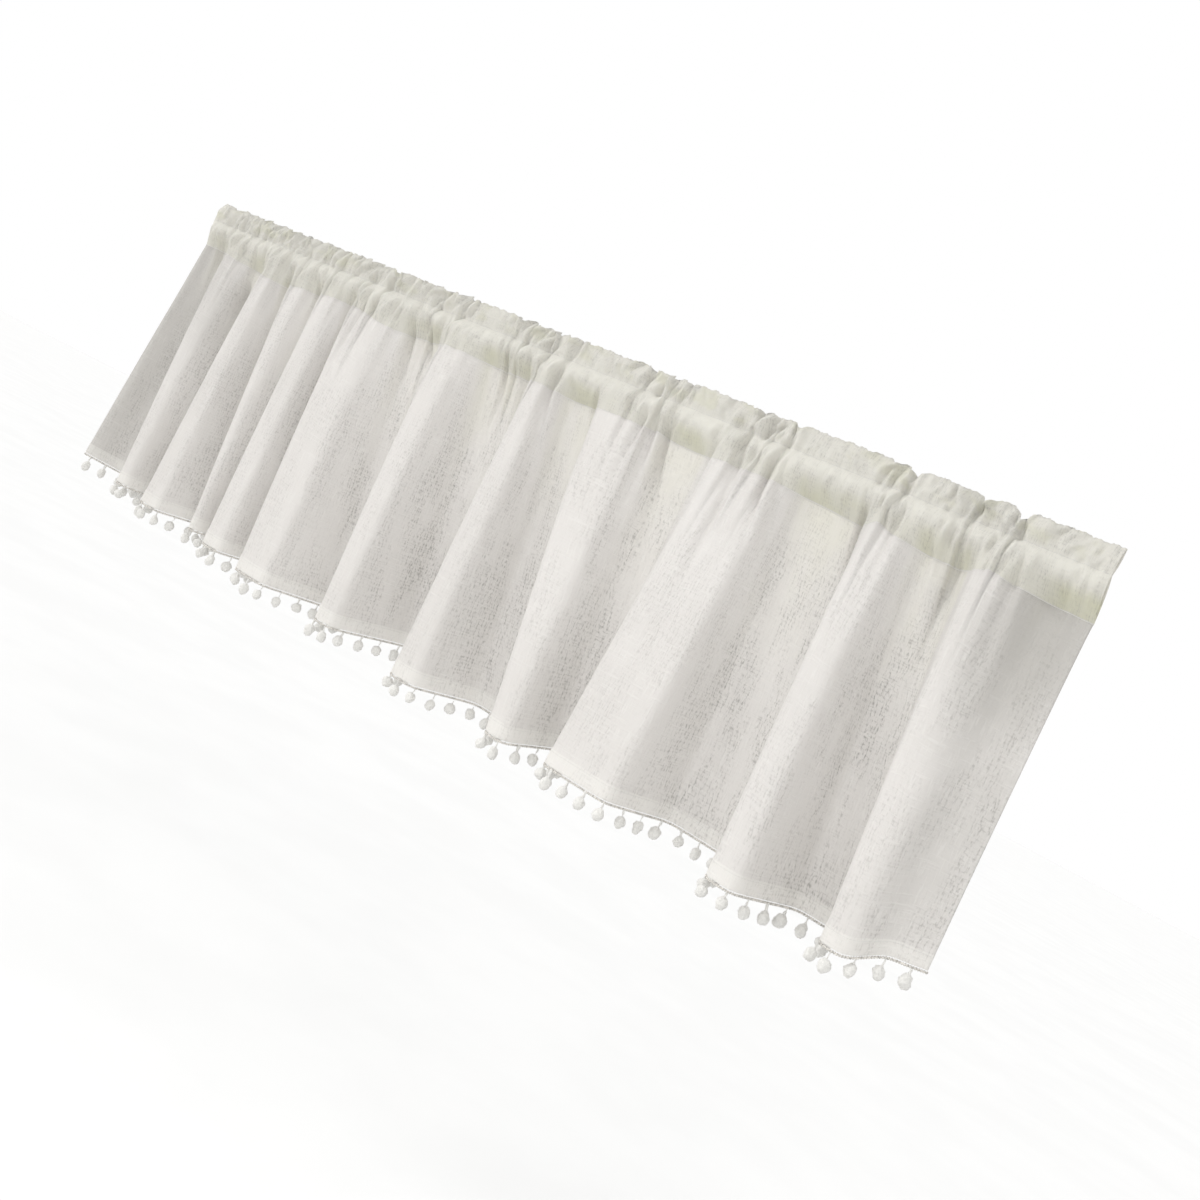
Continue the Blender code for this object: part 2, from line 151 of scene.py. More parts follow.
# Stitched-in gathers, one row each, left to right: where, how narrow, how far
# the pocket is drawn in, how far the pleat stands forward, and the header's
# notch. The stronger a pleat is, the further it runs down into the skirt.
GATHERS = (
    # x, half_width, draw, sway, notch
    (-0.734, 0.007, 0.0022, 0.0034, 0.0022),
    (-0.706, 0.006, 0.0026, -0.0034, 0.0018),
    (-0.687, 0.005, 0.0016, 0.0016, 0.0006),
    (-0.662, 0.007, 0.0030, 0.0038, 0.0030),
    (-0.631, 0.006, 0.0026, -0.0034, 0.0018),
    (-0.614, 0.005, 0.0014, 0.0014, 0.0006),
    (-0.587, 0.007, 0.0032, 0.0038, 0.0026),
    (-0.558, 0.006, 0.0026, -0.0038, 0.0022),
    (-0.540, 0.005, 0.0014, 0.0016, 0.0008),
    (-0.522, 0.007, 0.0032, 0.0038, 0.0032),
    (-0.486, 0.006, 0.0026, -0.0034, 0.0018),
    (-0.466, 0.005, 0.0014, 0.0012, 0.0006),
    (-0.451, 0.007, 0.0032, 0.0042, 0.0036),
    (-0.410, 0.006, 0.0026, -0.0038, 0.0022),
    (-0.391, 0.005, 0.0016, 0.0014, 0.0008),
    (-0.375, 0.007, 0.0036, 0.0044, 0.0032),
    (-0.332, 0.007, 0.0030, -0.0044, 0.0036),
    (-0.312, 0.005, 0.0014, 0.0014, 0.0006),
    (-0.292, 0.006, 0.0026, 0.0036, 0.0020),
    (-0.261, 0.007, 0.0024, -0.0034, 0.0012),
    (-0.231, 0.006, 0.0036, 0.0048, 0.0042),
    (-0.204, 0.005, 0.0024, -0.0016, 0.0010),
    (-0.182, 0.006, 0.0032, -0.0042, 0.0032),
    (-0.082, 0.006, 0.0028, 0.0036, 0.0026),
    (-0.064, 0.005, 0.0022, -0.0016, 0.0012),
    (-0.055, 0.006, 0.0036, -0.0046, 0.0042),
    (-0.030, 0.005, 0.0020, 0.0012, 0.0010),
    (-0.012, 0.006, 0.0036, 0.0042, 0.0038),
    (0.024, 0.007, 0.0030, -0.0038, 0.0022),
    (0.095, 0.007, 0.0020, 0.0022, 0.0016),
    (0.152, 0.006, 0.0030, -0.0042, 0.0026),
    (0.166, 0.005, 0.0022, 0.0014, 0.0008),
    (0.183, 0.006, 0.0036, 0.0048, 0.0034),
    (0.211, 0.006, 0.0030, -0.0038, 0.0022),
    (0.288, 0.007, 0.0024, 0.0032, 0.0016),
    (0.322, 0.005, 0.0038, -0.0046, 0.0028),
    (0.334, 0.004, 0.0024, 0.0014, 0.0010),
    (0.346, 0.005, 0.0038, 0.0046, 0.0032),
    (0.374, 0.006, 0.0034, -0.0042, 0.0028),
    (0.503, 0.006, 0.0028, 0.0036, 0.0020),
    (0.518, 0.004, 0.0020, -0.0012, 0.0010),
    (0.529, 0.006, 0.0040, -0.0052, 0.0105),
    (0.590, 0.007, 0.0024, 0.0032, 0.0012),
    (0.603, 0.004, 0.0020, -0.0012, 0.0014),
    (0.612, 0.006, 0.0044, -0.0052, 0.0145),
    (0.648, 0.005, 0.0024, 0.0014, 0.0020),
    (0.657, 0.006, 0.0044, 0.0048, 0.0110),
    (0.700, 0.008, 0.0012, -0.0014, 0.0008),
    (0.742, 0.007, 0.0014, 0.0018, 0.0012),
)
PLEAT_SHARE = 0.80
# A pleat's least run down the skirt, and how much longer a strong one's is.
PLEAT_LEAST = 0.05
PLEAT_LONGER = 24.0
# Its wave and its width in half widths of the gather: at the seam, and how
# much is added by the hem.
PLEAT_WAVE = (3.0, 7.0)
PLEAT_WIDE = (1.8, 5.0)
# The narrow crease beside a strong gather, and the notch from which it starts.
TUCK = 0.0055
TUCK_WIDE = 0.0017
TUCK_FROM = 0.0015
TUCK_FULL = 0.0040
TUCK_DOWN = 0.16
TUCK_ASIDE = 0.55


def fold_points():
    """Control points across the skirt: hem x, hem y, lean, seam y, dip."""
    points = [LEFT_EDGE]
    for row in FOLDS:
        crest_l, crest_r, front, valley_l, valley_r, back, lean, gather, dip, sink = row
        hollow = HOLLOW_SHARE * gather
        points.append((crest_l, -front, lean, -gather, dip))
        points.append((crest_r, -front, None, -gather, dip))
        points.append((valley_l, back, None, hollow, sink))
        points.append((valley_r, back, None, hollow, sink))
    points.append(RIGHT_EDGE)
    known = [(p[0], p[2]) for p in points if p[2] is not None]
    at, lean = zip(*known)
    leans = np.interp([p[0] for p in points], at, lean)
    return np.array([(p[0], p[1], d, p[3], p[4]) for p, d in zip(points, leans)])


def soften(values, step, width):
    """Rounds the corners of a sampled line, its two ends held in place."""
    reach = int(4 * width / step)
    kernel = np.exp(-0.5 * (np.arange(-reach, reach + 1) * step / width) ** 2)
    kernel /= kernel.sum()
    before = 2 * values[0] - values[reach:0:-1]
    after = 2 * values[-1] - values[-2:-reach - 2:-1]
    padded = np.concatenate([before, values, after])
    return np.convolve(padded, kernel, mode="valid")


def fold_lines():
    """The skirt's plan at the seam and at the hem, sampled along the cloth."""
    points = fold_points()
    along = np.hypot(np.diff(points[:, 0]), np.diff(points[:, 1]))
    along = np.concatenate([[0.0], np.cumsum(along)])
    fine = np.linspace(0.0, along[-1], PLAN_SAMPLES)
    step = fine[1] - fine[0]
    column = [np.interp(fine, along, points[:, i]) for i in range(5)]
    hem_x, hem_y, lean, seam_y, dip = (soften(c, step, SOFTEN) for c in column)
    return {"u": fine / along[-1], "hem_x": hem_x, "hem_y": hem_y,
            "seam_x": hem_x - lean, "seam_y": seam_y, "dip": dip}


LINES = fold_lines()


def line(name, u):
    return np.interp(u, LINES["u"], LINES[name])


def crease_depth(x, s):
    """How far the creases stand out of the cloth at x, share s down."""
    out = np.zeros_like(x)
    for x_start, s_start, x_end, s_end, half_width, stand in CREASES:
        run = np.clip((s - s_start) / (s_end - s_start), 0.0, 1.0)
        middle = x_start + (x_end - x_start) * run
        wide = half_width * (1.0 + CREASE_WIDENS * run)
        begun = np.clip(1.0 + (s - s_start) / CREASE_START, 0.0, 1.0)
        fade = (1.0 - run) ** CREASE_FADE * begun
        out += stand * fade * np.exp(-((x - middle) / wide) ** 2)
    return out


def pleats(x, s):
    """How far the gathers' pleats stand out at x on the seam, share s down."""
    out = np.zeros_like(x * s)
    for at, half_width, _, forward, _ in GATHERS:
        reach = PLEAT_LEAST + PLEAT_LONGER * abs(forward)
        far = (x - at) / half_width
        crimp = np.cos(2 * np.pi * far / (PLEAT_WAVE[0] + PLEAT_WAVE[1] * s))
        crimp = crimp * np.exp(-(far / (PLEAT_WIDE[0] + PLEAT_WIDE[1] * s)) ** 2)
        out += forward * np.exp(-(s / reach) ** 1.4) * crimp
    return out


def tucks(x):
    """Depth of the narrow creases beside the strongest gathers."""
    deep = np.zeros_like(x)
    for at, half_width, _, forward, cut in GATHERS:
        share = np.clip((cut - TUCK_FROM) / (TUCK_FULL - TUCK_FROM), 0.0, 1.0)
        side = at + TUCK_ASIDE * half_width * np.sign(forward)
        deep = np.maximum(deep, TUCK * share * np.exp(-((x - side) / TUCK_WIDE) ** 2))
    return deep


def seam_height(x):
    """Height of the seam between the heading and the skirt at x."""
    low = np.zeros_like(x)
    for at, half_width, down in SAGS:
        low += down * np.exp(-((x - at) / half_width) ** 2)
    return SEAM_Z - low


def drape(u, s):
    """Middle of the skirt's cloth: u across it, s from seam (0) to hem (1)."""
    spread = s ** DEEPEN
    drift = s ** LEAN_OUT
    x = line("seam_x", u) * (1 - drift) + line("hem_x", u) * drift
    y = line("seam_y", u) * (1 - spread) + line("hem_y", u) * spread
    y = y - crease_depth(x, s) - PLEAT_SHARE * pleats(line("seam_x", u), s)
    tucked = tucks(line("seam_x", u)) * np.exp(-(s / TUCK_DOWN) ** 1.2)
    y = y - FACE * np.exp(-s / FACE_DOWN) + tucked
    top = seam_height(line("seam_x", u)) + OVERLAP
    z = top + (-DROP - top) * s - line("dip", u) * s ** 2
    return x, y, z


def hem_run():
    """Distance along the hem at each sample of the fold plan."""
    far = np.hypot(np.diff(LINES["hem_x"]), np.diff(LINES["hem_y"]))
    return np.concatenate([[0.0], np.cumsum(far)])


def hem_places(count, seam_share=0.0):
    """Shares u that lie evenly along the hem, or in part along the seam."""
    hem, seam = hem_run(), LINES["seam_x"] - LINES["seam_x"][0]
    far = (1.0 - seam_share) * hem / hem[-1] + seam_share * seam / seam[-1]
    return np.interp(np.linspace(0, 1, count), far, LINES["u"])


def hang(name, data):
    """A new object at the origin, linked into the scene."""
    made = bpy.data.objects.new(name, data)
    bpy.context.scene.collection.objects.link(made)
    return made


def cloth_mesh(name, x, y, z, u_flat, v_flat):
    """A sheet through a grid of points, with its flat sizes as its UV map."""
    rows, columns = x.shape
    spots = np.stack([x, y, z], -1).reshape(-1, 3)
    first = np.arange(rows * columns).reshape(rows, columns)
    quads = np.stack([first[:-1, :-1], first[1:, :-1], first[1:, 1:], first[:-1, 1:]], -1)
    mesh = bpy.data.meshes.new(name)
    mesh.from_pydata(spots.tolist(), [], quads.reshape(-1, 4).tolist())
    flat = np.stack([u_flat, v_flat], -1).reshape(-1, 2)
    corner = np.empty(len(mesh.loops), np.int32)
    mesh.loops.foreach_get("vertex_index", corner)
    layer = mesh.uv_layers.new(name="UVMap")
    layer.data.foreach_set("uv", flat[corner].ravel())
    mesh.polygons.foreach_set("use_smooth", [True] * len(mesh.polygons))
    mesh.update()
    return mesh


def set_attribute(mesh, name, values):
    layer = mesh.attributes.new(name, "FLOAT", "POINT")
    layer.data.foreach_set("value", np.ascontiguousarray(values, np.float32).ravel())


def settle(piece, *nodes, slot):
    """Bakes the modifiers in and puts the piece in its node's place."""
    graph = bpy.context.evaluated_depsgraph_get()
    shaped = bpy.data.meshes.new_from_object(piece.evaluated_get(graph))
    shaped.name = piece.name
    piece.modifiers.clear()
    piece.data = shaped
    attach(piece, "root")
    if nodes:
        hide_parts(*nodes)
    return piece


class Thread:
    """One socket of a node tree; arithmetic on it adds its Math nodes."""

    def __init__(self, nodes, socket):
        self.nodes = nodes
        self.socket = socket

    def sum(self, operation, *values):
        return self.nodes.add("ShaderNodeMath", {"operation": operation}, dict(enumerate(values)))

    def __add__(self, other):
        return self.sum("ADD", self, other)

    def __radd__(self, other):
        return self.sum("ADD", other, self)

    def __sub__(self, other):
        return self.sum("SUBTRACT", self, other)

    def __rsub__(self, other):
        return self.sum("SUBTRACT", other, self)

    def __mul__(self, other):
        return self.sum("MULTIPLY", self, other)

    def __rmul__(self, other):
        return self.sum("MULTIPLY", other, self)

    def __rtruediv__(self, other):
        return self.sum("DIVIDE", other, self)

    def sine(self):
        return self.sum("SINE", self)

    def least(self, other):
        return self.sum("MINIMUM", self, other)

    def most(self, other):
        return self.sum("MAXIMUM", self, other)

    def between(self, low, high):
        """0 below low, 1 above high, and smooth in between."""
        return self.nodes.add("ShaderNodeMapRange",
                              {"interpolation_type": "SMOOTHSTEP", "clamp": True},
                              {"Value": self, "From Min": low, "From Max": high})


class Nodes:
    """A node tree that is built node by node."""

    def __init__(self, tree):
        self.tree = tree

    def add(self, kind, settings=None, sockets=None, out=0):
        node = self.tree.nodes.new(kind)
        for name, value in (settings or {}).items():
            setattr(node, name, value)
        for name, value in (sockets or {}).items():
            if isinstance(value, Thread):
                self.tree.links.new(value.socket, node.inputs[name])
            else:
                node.inputs[name].default_value = value
        return Thread(self, node.outputs[out])


class Finish(Nodes):
    """A material."""

    def __init__(self, name):
        self.material = bpy.data.materials.new(name)
        self.material.use_nodes = True
        super().__init__(self.material.node_tree)
        self.tree.nodes.clear()

    def attribute(self, name):
        return self.add("ShaderNodeAttribute", {"attribute_name": name}, None, out=2)

    def mix(self, share, first, second):
        """Colour first where share is 0, second where it is 1."""
        kind = {"data_type": "RGBA", "blend_type": "MIX", "clamp_factor": True}
        return self.add("ShaderNodeMix", kind, {0: share, 6: first, 7: second}, out=2)

    def noise(self, place, scale, detail=2.0, roughness=0.5):
        return self.add("ShaderNodeTexNoise", None,
                        {"Vector": place, "Scale": scale, "Detail": detail,
                         "Roughness": roughness})

    def streaks(self, flat, across, down, detail=2.0):
        """Noise on the flat cloth, so many features a metre each way."""
        counted = self.add("ShaderNodeVectorMath", {"operation": "MULTIPLY"},
                           {0: flat, 1: (across, down, 1.0)})
        return self.noise(counted, 1.0, detail)

    def blots(self, flat, across, down, detail, begins, full):
        """Soft-edged blots where the streaks lie between two levels."""
        return self.streaks(flat, across, down, detail).between(begins, full)

    def end(self, shader):
        output = self.tree.nodes.new("ShaderNodeOutputMaterial")
        self.tree.links.new(shader.socket, output.inputs["Surface"])
        return self.material

    def surface(self, colour, roughness, height, relief, sheen, through):
        """Cloth that also lets light through, ended in the output node."""
        bump = self.add("ShaderNodeBump", None,
                        {"Strength": 1.0, "Distance": relief, "Height": height})
        face = self.add("ShaderNodeBsdfPrincipled", None,
                        {"Base Color": colour, "Roughness": roughness, "Normal": bump,
                         "Sheen Weight": sheen, "Sheen Roughness": 0.6,
                         "Specular IOR Level": 0.25})
        glow = self.add("ShaderNodeBsdfTranslucent", None, {"Color": colour, "Normal": bump})
        return self.end(self.add("ShaderNodeMixShader", None, {0: through, 1: face, 2: glow}))


WARP_PITCH = 0.00088
WEFT_PITCH = 0.00096
SLUB_COLUMN = 0.0058
SLUB_COURSE = 0.0044
# How often warp and weft wander, a metre across and down, and how far they,
# and the slubs' columns and courses, stray from their lines.
WARP_WANDERS = (60.0, 14.0)
WEFT_WANDERS = (14.0, 60.0)
THREAD_STRAY = 0.0022
COLUMN_STRAY = 0.024
COURSE_STRAY = 0.016

# Uneven features of the weave and its tints, as noise on the flat cloth.
WEAVE = {
    # feature: (a metre across, a metre down, detail, begins, full)
    "loose patches": (34.0, 9.0, 2.0, 0.36, 0.60),
    "dashes": (620.0, 165.0, 1.0, 0.44, 0.60),
    "flecks": (240.0, 700.0, 1.5, 0.55, 0.68),
    "slubs down": (480.0, 40.0, 1.0, 0.54, 0.68),
    "slubs across": (26.0, 420.0, 1.0, 0.56, 0.70),
    "broad shade": (7.0, 5.0, 3.0, 0.30, 0.72),
    "skirt clouds": (22.0, 9.0, 2.0, 0.34, 0.62),
    "pocket clouds": (13.0, 24.0, 2.0, 0.34, 0.60),
    "header clouds": (17.0, 40.0, 2.0, 0.46, 0.64),
}
LINEN_PALE = (0.775, 0.757, 0.736, 1.0)
LINEN_SHADE = (0.705, 0.685, 0.660, 1.0)
LINEN_GAP = (0.420, 0.406, 0.385, 1.0)
LINEN_SLUB = (0.830, 0.820, 0.795, 1.0)
# A creamy tint: the colour of the turned-under edge, and also painted shade.
LINEN_CREAM_AND_SHADE = (0.730, 0.722, 0.600, 1.0)
# Lighter colour of two-layer cloth, and of the heading's painted highlight.
LINEN_DOUBLED_AND_HIGHLIGHT = (0.875, 0.865, 0.830, 1.0)
# Grey of the painted shade on the skirt's side strips and right end.
LINEN_PAINTED_SHADE = (0.500, 0.486, 0.456, 1.0)
# How strongly each tint is laid over those before it.
SHADE_SHARE = 0.40
PAINTED_SHADE_SHARE = 0.60
SLUB_SHARE = 0.36
SLUB_LOST_IN_SHADE = 0.26
DOUBLED_AND_HIGHLIGHT_SHARE = 0.80
GAP_SHARE = 0.66
GAP_SHUT_DOUBLED_AND_HIGHLIGHT = 0.50
LINEN_RELIEF = 0.00022
LINEN_SHEEN = 0.10
LINEN_THROUGH = 0.46


def linen(name, zones):
    """Slub linen: uneven threads, loose places in patches and thick slubs.

    The zones give, at each place, the share of creamy tint and painted shade,
    the share of two-layer cloth and painted highlight, how open the weave lies
    there (its dark gaps partly painted shade) and how much grey painted shade
    lies on it.
    """
    cloth = Finish(name)
    flat = cloth.add("ShaderNodeUVMap", {"uv_map": "UVMap"})
    across = cloth.add("ShaderNodeSeparateXYZ", None, {0: flat}, out=0)
    down = cloth.add("ShaderNodeSeparateXYZ", None, {0: flat}, out=1)
    wander = cloth.streaks(flat, *WARP_WANDERS)
    stray = cloth.streaks(flat, *WEFT_WANDERS)
    warp = ((across + wander * THREAD_STRAY) * (2 * np.pi / WARP_PITCH)).sine()
    weft = ((down + stray * THREAD_STRAY) * (2 * np.pi / WEFT_PITCH)).sine()
    thread = warp * weft * 0.25 + warp.most(weft) * 0.35
    column = ((across + wander * COLUMN_STRAY) * (2 * np.pi / SLUB_COLUMN)).sine()
    column = column.between(-0.4, 0.7)
    course = ((down + stray * COURSE_STRAY) * (2 * np.pi / SLUB_COURSE)).sine()
    course = course.between(-0.5, 0.5)
    patch, dash, fleck, slub_down, slub_across, broad = (
        cloth.blots(flat, *WEAVE[feature]) for feature in
        ("loose patches", "dashes", "flecks", "slubs down", "slubs across", "broad shade"))
    gap = dash * (column * 0.75 + 0.25) * (course * 0.50 + 0.50)
    gap = gap.most(fleck * course * 0.7) * (patch * 0.86 + 0.14)
    slub = slub_down.most(slub_across)
    cream_and_shade, doubled_and_highlight, open_and_shaded, painted_shade = zones(cloth, flat, across, down)
    colour = cloth.mix(broad * SHADE_SHARE, LINEN_PALE, LINEN_SHADE)
    # Grey painted shade where the skirt's edges lie in shade; slubs show less there.
    colour = cloth.mix(painted_shade * PAINTED_SHADE_SHARE, colour, LINEN_PAINTED_SHADE)
    colour = cloth.mix(slub * (SLUB_SHARE - painted_shade * SLUB_LOST_IN_SHADE), colour, LINEN_SLUB)
    # Lighter two-layer cloth and, on the heading, a painted highlight.
    colour = cloth.mix(doubled_and_highlight * DOUBLED_AND_HIGHLIGHT_SHARE, colour, LINEN_DOUBLED_AND_HIGHLIGHT)
    # Creamy tint, partly the cloth's own and partly painted shade.
    colour = cloth.mix(cream_and_shade, colour, LINEN_CREAM_AND_SHADE)
    # Dark gaps of the weave: stronger in shaded places as painted shade, weaker on two-layer
    # cloth and on the painted highlight.
    seen = gap * open_and_shaded * (GAP_SHARE - doubled_and_highlight * GAP_SHUT_DOUBLED_AND_HIGHLIGHT)
    colour = cloth.mix(seen, colour, LINEN_GAP)
    rough = 0.86 + slub * 0.08 - gap * 0.10
    height = thread * 0.5 + slub * 0.6 - gap * 0.9
    return cloth.surface(colour, rough, height, LINEN_RELIEF, LINEN_SHEEN, LINEN_THROUGH)


# Upper fold of the hem, and how softly the doubled cloth shows there.
HEM_FOLD = DROP + SEAM_Z - HEM
HEM_FOLD_EDGE = 0.0006
HEM_DOUBLED = 0.48


def skirt_zones(cloth, flat, across, down):
    """Painted shade, a creamy tint, in the hollows under the seam; two-layer cloth at the hem."""
    clouds = cloth.blots(flat, *WEAVE["skirt clouds"])
    cream_and_shade = cloth.attribute("hollow") * (clouds * 0.26 + 0.10)
    doubled_and_highlight = down.between(HEM_FOLD - HEM_FOLD_EDGE, HEM_FOLD + HEM_FOLD_EDGE)
    return cream_and_shade, doubled_and_highlight * HEM_DOUBLED, cloth.attribute("open_and_shaded"), cloth.attribute("painted_shade")


# Places where the cloth's colour is darkened towards grey as painted shade, mostly along the left
# edge and at the right end.
PAINTED_SHADE_PLACES = (
    # x, s, half_width, half_height, shade
    (-0.748, 0.45, 0.034, 1.20, 0.80),
    (-0.690, 0.10, 0.045, 0.22, 0.45),
    (-0.640, 0.20, 0.034, 0.26, 0.40),
    (0.732, 0.02, 0.054, 0.42, 1.25),
    (0.748, 0.60, 0.036, 0.40, 0.50),
    (0.612, 0.05, 0.014, 0.12, 0.50),
)


def painted_shade_places(x, s):
    """0 where no shade is painted, and about 1 where the painted shade is darkest."""
    painted_shade = np.zeros_like(x)
    for at, down, half_width, half_height, much in PAINTED_SHADE_PLACES:
        far = ((x - at) / half_width) ** 2 + ((s - down) / half_height) ** 2
        painted_shade = np.maximum(painted_shade, much * np.exp(-far ** 1.5))
    return painted_shade


# The mesh's columns lie between evenly along the hem and evenly at the seam.
COLUMNS_BY_SEAM = 0.45
HEM_STITCH = 0.006
# Where the skirt lies back under the seam, painted shade tints it cream, but not at
# its right end: how deep that hollow is, how far down it shows, and where it ends.
HOLLOW_DEEP = 0.008
HOLLOW_DOWN = 0.24
HOLLOW_END = 0.72
HOLLOW_END_SOFT = 0.03

hem_length = hem_run()[-1]
skirt_at = hem_places(SKIRT_COLUMNS + 1, COLUMNS_BY_SEAM)
hem_share = 1.0 - HEM / (DROP + SEAM_Z)
hem_rows = [hem_share, hem_share + HEM_STITCH, hem_share + 0.022, 0.9985, 1.0]
body_rows = np.linspace(0, 1, SKIRT_ROWS - len(hem_rows))[1:] ** 1.2 * (hem_share - 0.003)
skirt_down = np.concatenate([[0.0, 0.0006], body_rows, hem_rows])
u_grid, s_grid = np.meshgrid(skirt_at, skirt_down)
skirt_x, skirt_y, skirt_z = drape(u_grid, s_grid)
cloth_u = np.interp(u_grid, LINES["u"], hem_run())
skirt_mesh = cloth_mesh("linen_skirt", skirt_x, skirt_y, skirt_z, cloth_u,
                        s_grid * (DROP + SEAM_Z))
# Mask of the painted shade in the hollows where the skirt lies back under the seam.
recess = np.clip(line("seam_y", u_grid) / HOLLOW_DEEP + 0.25, 0.0, 1.0)
recess = recess * np.clip((HOLLOW_END - skirt_x) / HOLLOW_END_SOFT, 0.0, 1.0)
set_attribute(skirt_mesh, "hollow", recess * np.exp(-(s_grid / HOLLOW_DOWN) ** 1.3))
# Mask of the grey painted shade on the skirt's edges.
set_attribute(skirt_mesh, "painted_shade", painted_shade_places(skirt_x, s_grid))

# The weave's dark gaps show more, partly as painted shade, where the cloth turns
# away from the key light and where it lies back, and less so just under the seam.
sideways, backwards = np.gradient(skirt_x, axis=1), np.gradient(skirt_y, axis=1)
slope = backwards / np.hypot(sideways, backwards)
open_and_shaded = 0.30 + 0.35 * np.clip(0.5 + 0.9 * slope, 0.0, 1.0)
open_and_shaded = open_and_shaded + 0.65 * np.clip(0.6 + skirt_y / 0.05, 0.0, 1.0)
set_attribute(skirt_mesh, "open_and_shaded", open_and_shaded * np.clip(0.42 + s_grid / 0.62, 0.0, 1.0))

skirt = hang("linen_skirt", skirt_mesh)
layers = skirt.vertex_groups.new(name="layers")
first_turned = (len(skirt_down) - len(hem_rows)) * (SKIRT_COLUMNS + 1)
layers.add(list(range(first_turned, len(skirt_mesh.vertices))), 1.0, "REPLACE")
layers.add(list(range(first_turned)), LINEN / HEM_LINEN, "REPLACE")
thicken = skirt.modifiers.new("thickness", "SOLIDIFY")
thicken.thickness = HEM_LINEN
thicken.offset = 0.0
thicken.vertex_group = "layers"
skirt_mesh.materials.append(linen("slub linen, skirt", skirt_zones))
settle(skirt, "panel", slot="skirt_linen")


# The heading: the top of the same linen folded over to the back and stitched
# twice, which leaves a ruffled header standing above an open rod pocket. It is
# gathered unevenly, in tight bunches with flat stretches between.

# The pocket's walls, in front (-1) and behind (1): how full each is, how much
# of a gather's draw it takes, and how strongly it crumples.
WALLS = {
    # face: (full, drawn, crumpled)
    -1: (0.0088, 0.5, 1.6),
    1: (0.0085, 0.3, 1.0),
}
# Share of the pocket's height at which it is fullest.
FULLEST = 0.60
STAND = 0.0035
HEADER_PUFF = 0.0024
HEADING_COLUMNS = 1060
# Stand of a gather that makes a tight bunch by itself.
BUNCH_STAND = 0.005

# The pocket closes a little towards each end: over what distance, by what share.
END_CLOSING = (
    # distance, share
    (0.020, 0.18),
    (0.008, 0.30),
)

# Crumples of the heading between its gathers. They slant and bend, so that
# each drifts by some turns from the seam to the header's top.
CRUMPLES = (
    # a_metre, start, height, drift
    (19.0, 1.1, 0.00120, 0.30),
    (31.0, 0.6, 0.00100, -0.40),
    (47.0, 2.1, 0.00072, 0.55),
    (71.0, 4.0, 0.00056, -0.70),
    (109.0, 1.3, 0.00036, 0.80),
)
# The header's sway back and forth, and the small ruffles of its top edge.
SWAYS = (
    # a_metre, start, height
    (9.0, 0.8, 0.00120),
    (15.5, 2.6, 0.00084),
)
RUFFLES = (
    # a_metre, start, height
    (57.0, 1.0, 0.0007),
    (161.0, 0.0, 0.0004),
)


def waves(x, table):
    return sum(height * np.sin(2 * np.pi * a_metre * x + start)
               for a_metre, start, height in table)


def bunched(x, reach):
    """1 in the tight bunches of the heading and 0 in its flat stretches."""
    tight = np.zeros_like(x)
    for at, half_width, _, forward, _ in GATHERS:
        far = (x - at) / (reach * half_width)
        tight += abs(forward) / BUNCH_STAND * np.exp(-far ** 2)
    return np.clip(tight, 0.0, 1.0)


def gathers_at(x, rise):
    """Draw, notch and crumple of the heading at x, rise 0 to 2 up it."""
    draw, notch, crumple = (np.zeros_like(x) for _ in range(3))
    for at, half_width, in_by, _, cut in GATHERS:
        draw += in_by * np.exp(-((x - at) / half_width) ** 2)
        notch += cut * np.exp(-np.abs((x - at) / half_width) ** 1.5)
    crowd = bunched(x, 3.0)
    bend = 0.004 * np.sin(2 * np.pi * 5.3 * x + 2.9 * rise) * rise
    for a_metre, start, height, drift in CRUMPLES:
        turn = 2 * np.pi * (a_metre * (x + bend) + drift * rise) + start
        blotch_turn = 2 * np.pi * x * a_metre / 5.3 + 1.7 * start - 3.1 * drift * rise
        blotch = 1.0 + 0.7 * np.sin(blotch_turn)
        crumple += height * (0.50 + 0.90 * crowd) * blotch * np.sin(turn)
    return draw, notch, crumple


def seam_wave(x):
    return np.interp(x, LINES["seam_x"], LINES["seam_y"])


def heading_side(x, face, rise):
    """A line of cloth up one side of the heading; face is -1 at the front."""
    draw, notch, crumple = gathers_at(x, rise)
    pleat = PLEAT_SHARE * pleats(x, 0.0)
    fold = crease_depth(x, 0.0)
    seam_z = seam_height(x)
    stand = STAND * np.clip(rise, 0.0, 1.0) ** 2
    if rise <= 1.0:
        inward = SPAN / 2 - abs(x)
        shut = 1.0 - sum(share * np.exp(-(inward / far) ** 2) for far, share in END_CLOSING)
        around = np.log(0.5) / np.log(FULLEST)
        full = np.sin(np.pi * np.clip(rise, 0.0, 1.0) ** around) ** 0.85
        fullness, drawn, crumpled = WALLS[face]
        deep = fullness * shut - drawn * draw + crumpled * crumple
        z = seam_z + rise * (-HEADER - seam_z)
        follow = 1.0 - 0.50 * full
        y = seam_wave(x) * (1 - rise) ** 1.3 - fold * (1 - rise) ** 1.2 - pleat * follow - stand
        y = y + face * (deep * full + FACE) + crumple * rise * (1.0 - full)
        return y + tucks(x), z
    high = rise - 1.0
    z = -HEADER + high * (HEADER - notch + 0.8 * crumple + waves(x, RUFFLES) * high)
    y = -pleat * (1.0 + 0.35 * high) - waves(x, SWAYS) * high + crumple * (1.0 + 1.2 * high)
    puff = FACE + HEADER_PUFF * np.sin(np.pi * high) ** 0.8
    return y - stand * (1.0 - high) + face * puff + tucks(x), z


# Bands up the flat heading, from the seam: where each begins and is full.
UNFOLDED = (0.014, 0.030)
HEADER_BAND = (0.046, 0.056)
SEAM_EDGE = (0.0006, 0.0018)
